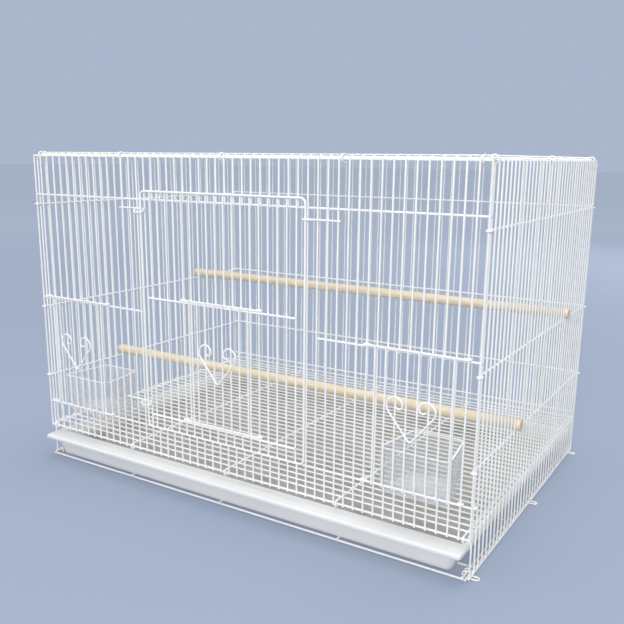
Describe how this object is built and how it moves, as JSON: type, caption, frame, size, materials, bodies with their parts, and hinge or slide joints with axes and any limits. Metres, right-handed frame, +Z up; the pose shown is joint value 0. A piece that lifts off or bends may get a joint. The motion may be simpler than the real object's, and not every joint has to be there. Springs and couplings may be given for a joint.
{
  "type": "canary breeding cage",
  "caption": "Wire breeding cage for small birds with a sliding litter tray, a hinged front door with latch, lift doors with heart handles, wooden perches and hanging cups",
  "frame": {"origin": "on the ground plane under the middle of the cage's outline", "axes": "+X to the right seen from the front, +Y from the front to the back, +Z up; the doors and the tray open toward -Y"},
  "size_m": [0.6308, 0.437, 0.4175],
  "materials": {
    "wire_white": "white coated wire",
    "tray_white": "white glossy moulded plastic",
    "perch_wood": "plain untreated dowel",
    "cup_clear": "clear moulded plastic"
  },
  "bodies": {
    "cage": {"front_panel": "wire_white", "back_panel": "wire_white", "left_panel": "wire_white", "right_panel": "wire_white", "top_panel": "wire_white", "top_ring_clips": "wire_white", "floor_grate": "wire_white", "grate_bearers": "wire_white", "base_frame": "wire_white", "foot_clips": "wire_white", "hinge_eyes": "wire_white"},
    "tray": {"tray": "tray_white"},
    "main_door": {"door_frame": "wire_white", "door_grille": "wire_white"},
    "door_latch": {"door_latch": "wire_white"},
    "lift_left": {"lift_left": "wire_white", "heart_left": "wire_white"},
    "lift_centre": {"lift_centre": "wire_white", "heart_centre": "wire_white"},
    "lift_right": {"lift_right": "wire_white", "heart_right": "wire_white"},
    "perch_upper": {"perch_upper": "perch_wood"},
    "perch_lower": {"perch_lower": "perch_wood"},
    "cup_left": {"cup_left": "cup_clear"},
    "cup_right": {"cup_right": "cup_clear"}
  },
  "joints": [
    {"name": "tray_slide", "type": "slide", "parent": "cage", "child": "tray", "axis": [0, -1, 0], "range_m": [0, 0.43]},
    {"name": "main_door_hinge", "type": "hinge", "parent": "cage", "child": "main_door", "pos_m": [-0.116, -0.20776, 0.22775], "axis": [0, 0, -1], "range_deg": [0, 165]},
    {"name": "latch_hinge", "type": "hinge", "parent": "main_door", "child": "door_latch", "pos_m": [0.114, -0.20776, 0.351], "axis": [0, 0, -1], "range_deg": [0, 150]},
    {"name": "lift_left_slide", "type": "slide", "parent": "cage", "child": "lift_left", "axis": [0, 0, 1], "range_m": [0, 0.1305]},
    {"name": "lift_centre_slide", "type": "slide", "parent": "main_door", "child": "lift_centre", "axis": [0, 0, 1], "range_m": [0, 0.109]},
    {"name": "lift_right_slide", "type": "slide", "parent": "cage", "child": "lift_right", "axis": [0, 0, 1], "range_m": [0, 0.1305]},
    {"name": "perch_upper_lift", "type": "slide", "parent": "cage", "child": "perch_upper", "axis": [0, 0, 1], "range_m": [0, 0.1]},
    {"name": "perch_lower_lift", "type": "slide", "parent": "cage", "child": "perch_lower", "axis": [0, 0, 1], "range_m": [0, 0.07]},
    {"name": "cup_left_lift", "type": "slide", "parent": "cage", "child": "cup_left", "axis": [0, 0, 1], "range_m": [0, 0.06]},
    {"name": "cup_right_lift", "type": "slide", "parent": "cage", "child": "cup_right", "axis": [0, 0, 1], "range_m": [0, 0.06]}
  ]
}
